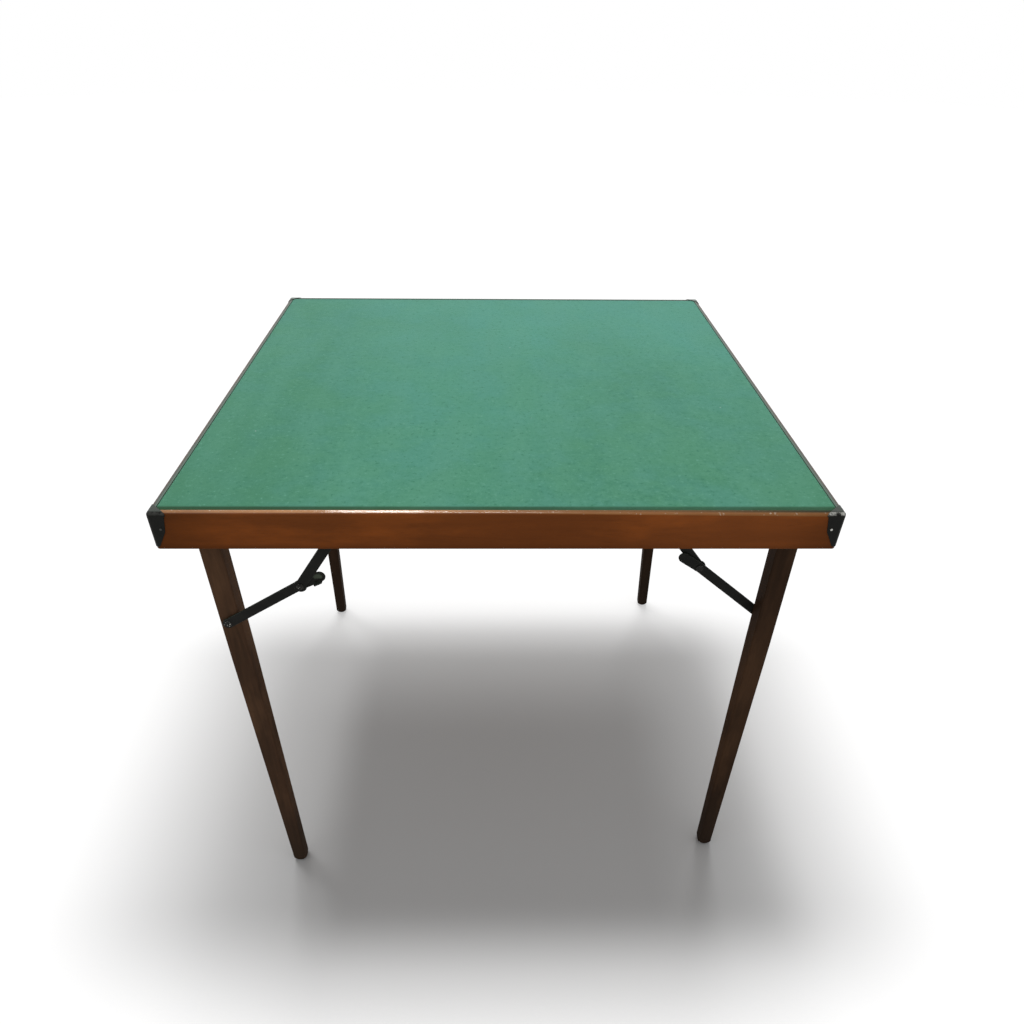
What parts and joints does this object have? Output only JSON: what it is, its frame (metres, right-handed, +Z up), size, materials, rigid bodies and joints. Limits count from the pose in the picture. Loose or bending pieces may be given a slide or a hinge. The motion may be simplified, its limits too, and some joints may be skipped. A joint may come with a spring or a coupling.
{
  "type": "folding card table",
  "caption": "Square card table with a cloth-covered top in a wooden frame, steel corner caps and folding legs held by jointed flat-bar stays.",
  "frame": {"origin": "on the floor under the middle of the top", "axes": "+Z up through the top, +X to the right and +Y to the back; the front rail faces -Y"},
  "size_m": [0.7634, 0.7634, 0.7008],
  "materials": {
    "rail_wood": "gloss varnish",
    "bearer_wood": "plain sawn",
    "board": "matte",
    "baize": "felted",
    "leg_wood": "worn varnish",
    "black_steel": "worn black",
    "worn_steel": "worn bright",
    "plain_steel": "plain"
  },
  "bodies": {
    "table_top": {"rail_front": "rail_wood", "rail_back": "rail_wood", "rail_left": "rail_wood", "rail_right": "rail_wood", "top_panel": "board", "baize_top": "baize", "bearer_front": "bearer_wood", "bearer_back": "bearer_wood", "corner_cap_front_left": "black_steel", "corner_cap_front_right": "black_steel", "corner_cap_back_left": "black_steel", "corner_cap_back_right": "black_steel", "corner_cap_nails": "worn_steel", "leg_pivot_rod_front_left": "plain_steel", "leg_pivot_rod_front_right": "plain_steel", "leg_pivot_rod_back_left": "plain_steel", "leg_pivot_rod_back_right": "plain_steel", "leg_pivot_tubes": "plain_steel", "stay_anchor_studs": "black_steel"},
    "leg_front_left": {"leg_front_left": "leg_wood", "stay_screw_front_left": "worn_steel", "stay_washer_front_left": "black_steel"},
    "stay_lower_front_left": {"stay_lower_front_left": "black_steel", "knuckle_rivet_tail_front_left": "worn_steel"},
    "stay_upper_front_left": {"stay_upper_front_left": "black_steel", "knuckle_rivet_head_front_left": "worn_steel"},
    "leg_front_right": {"leg_front_right": "leg_wood", "stay_screw_front_right": "worn_steel", "stay_washer_front_right": "black_steel"},
    "stay_lower_front_right": {"stay_lower_front_right": "black_steel", "knuckle_rivet_tail_front_right": "worn_steel"},
    "stay_upper_front_right": {"stay_upper_front_right": "black_steel", "knuckle_rivet_head_front_right": "worn_steel"},
    "leg_back_left": {"leg_back_left": "leg_wood", "stay_screw_back_left": "worn_steel", "stay_washer_back_left": "black_steel"},
    "stay_lower_back_left": {"stay_lower_back_left": "black_steel", "knuckle_rivet_tail_back_left": "worn_steel"},
    "stay_upper_back_left": {"stay_upper_back_left": "black_steel", "knuckle_rivet_head_back_left": "worn_steel"},
    "leg_back_right": {"leg_back_right": "leg_wood", "stay_screw_back_right": "worn_steel", "stay_washer_back_right": "black_steel"},
    "stay_lower_back_right": {"stay_lower_back_right": "black_steel", "knuckle_rivet_tail_back_right": "worn_steel"},
    "stay_upper_back_right": {"stay_upper_back_right": "black_steel", "knuckle_rivet_head_back_right": "worn_steel"}
  },
  "joints": [
    {"name": "fold_front_left", "type": "hinge", "parent": "table_top", "child": "leg_front_left", "pos_m": [-0.334, -0.341, 0.678], "axis": [0, -1, 0], "range_deg": [0, 89.4]},
    {"name": "stay_anchor_turn_front_left", "type": "hinge", "parent": "table_top", "child": "stay_upper_front_left", "pos_m": [-0.174, -0.341, 0.676], "axis": [0, -1, 0], "range_deg": [0, 126.89]},
    {"name": "stay_foot_turn_front_left", "type": "hinge", "parent": "leg_front_left", "child": "stay_lower_front_left", "pos_m": [-0.3347, -0.341, 0.52498], "axis": [0, -1, 0], "range_deg": [-118.59, 0]},
    {"name": "fold_front_right", "type": "hinge", "parent": "table_top", "child": "leg_front_right", "pos_m": [0.351, -0.3145, 0.678], "axis": [0, 1, 0], "range_deg": [0, 90.7]},
    {"name": "stay_anchor_turn_front_right", "type": "hinge", "parent": "table_top", "child": "stay_upper_front_right", "pos_m": [0.174, -0.3145, 0.676], "axis": [0, 1, 0], "range_deg": [0, 127.21]},
    {"name": "stay_foot_turn_front_right", "type": "hinge", "parent": "leg_front_right", "child": "stay_lower_front_right", "pos_m": [0.3556, -0.3145, 0.49004], "axis": [0, 1, 0], "range_deg": [-131.89, 0]},
    {"name": "fold_back_left", "type": "hinge", "parent": "table_top", "child": "leg_back_left", "pos_m": [-0.351, 0.3145, 0.678], "axis": [0, -1, 0], "range_deg": [0, 90.7]},
    {"name": "stay_anchor_turn_back_left", "type": "hinge", "parent": "table_top", "child": "stay_upper_back_left", "pos_m": [-0.174, 0.3145, 0.676], "axis": [0, -1, 0], "range_deg": [0, 127.21]},
    {"name": "stay_foot_turn_back_left", "type": "hinge", "parent": "leg_back_left", "child": "stay_lower_back_left", "pos_m": [-0.3556, 0.3145, 0.49004], "axis": [0, -1, 0], "range_deg": [-131.89, 0]},
    {"name": "fold_back_right", "type": "hinge", "parent": "table_top", "child": "leg_back_right", "pos_m": [0.334, 0.341, 0.678], "axis": [0, 1, 0], "range_deg": [0, 92]},
    {"name": "stay_anchor_turn_back_right", "type": "hinge", "parent": "table_top", "child": "stay_upper_back_right", "pos_m": [0.174, 0.341, 0.676], "axis": [0, 1, 0], "range_deg": [0, 139.13]},
    {"name": "stay_foot_turn_back_right", "type": "hinge", "parent": "leg_back_right", "child": "stay_lower_back_right", "pos_m": [0.34164, 0.341, 0.52517], "axis": [0, 1, 0], "range_deg": [-130.27, 0]}
  ],
  "couplings": [
    {"joint": "stay_anchor_turn_front_left", "follows": "fold_front_left", "ratio": 1.4171},
    {"joint": "stay_foot_turn_front_left", "follows": "fold_front_left", "ratio": -1.3242},
    {"joint": "stay_anchor_turn_front_right", "follows": "fold_front_right", "ratio": 1.4003},
    {"joint": "stay_foot_turn_front_right", "follows": "fold_front_right", "ratio": -1.4519},
    {"joint": "stay_anchor_turn_back_left", "follows": "fold_back_left", "ratio": 1.4003},
    {"joint": "stay_foot_turn_back_left", "follows": "fold_back_left", "ratio": -1.4519},
    {"joint": "stay_anchor_turn_back_right", "follows": "fold_back_right", "ratio": 1.5101},
    {"joint": "stay_foot_turn_back_right", "follows": "fold_back_right", "ratio": -1.4138}
  ]
}
